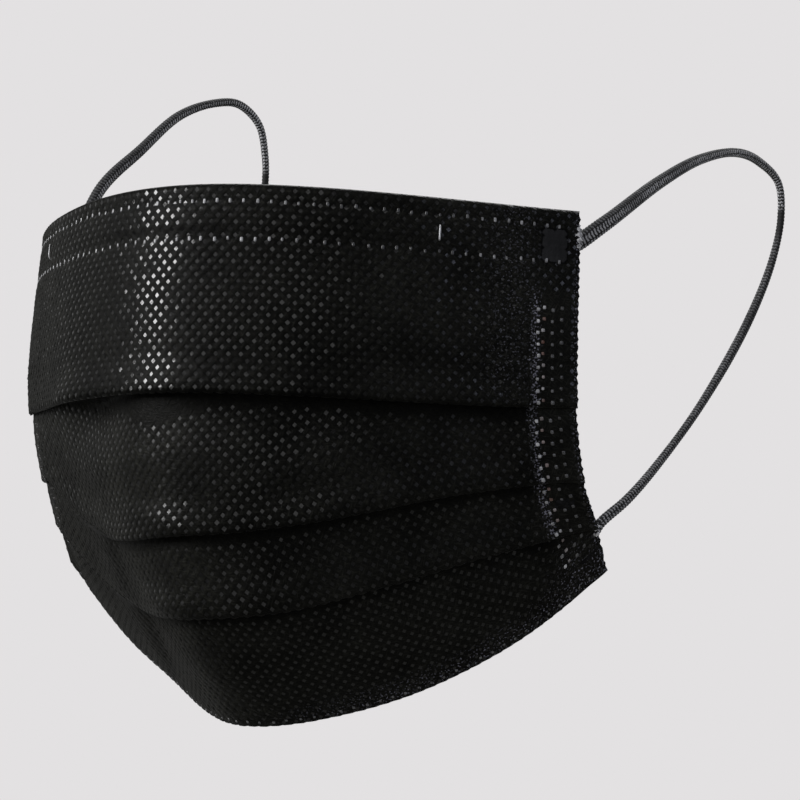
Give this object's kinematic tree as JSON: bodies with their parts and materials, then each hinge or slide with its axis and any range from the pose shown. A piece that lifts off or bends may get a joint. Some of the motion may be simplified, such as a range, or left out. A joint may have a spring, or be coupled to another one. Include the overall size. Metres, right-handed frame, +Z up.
{
  "type": "pleated disposable face mask with ear loops",
  "caption": "Soft pleated face mask held in its worn shape, with a nose wire in the top hem and two round elastic ear loops.",
  "frame": {"origin": "the seat on the nose bridge: middle of the top hem's inner face, behind the nose wire", "axes": "+Z up, -Y out of the front of the mask, +Y towards the wearer's ears, +X across the face"},
  "size_m": [0.153, 0.1387, 0.15],
  "materials": {
    "outer_cloth": "black spunbond polypropylene with pressed diamond dots, slight sheen",
    "inner_cloth": "black soft non-woven, matte",
    "elastic": "charcoal knitted elastic, matte",
    "wire": "plain flat strip, satin"
  },
  "bodies": {
    "root": {"mask_body": "outer_cloth", "top_hem": "inner_cloth", "bottom_hem": "inner_cloth", "nose_wire": "wire", "loop_end_top_right": "elastic", "loop_end_bottom_right": "elastic", "ear_loop_right": "elastic", "loop_end_top_left": "elastic", "loop_end_bottom_left": "elastic", "ear_loop_left": "elastic"}
  },
  "joints": []
}
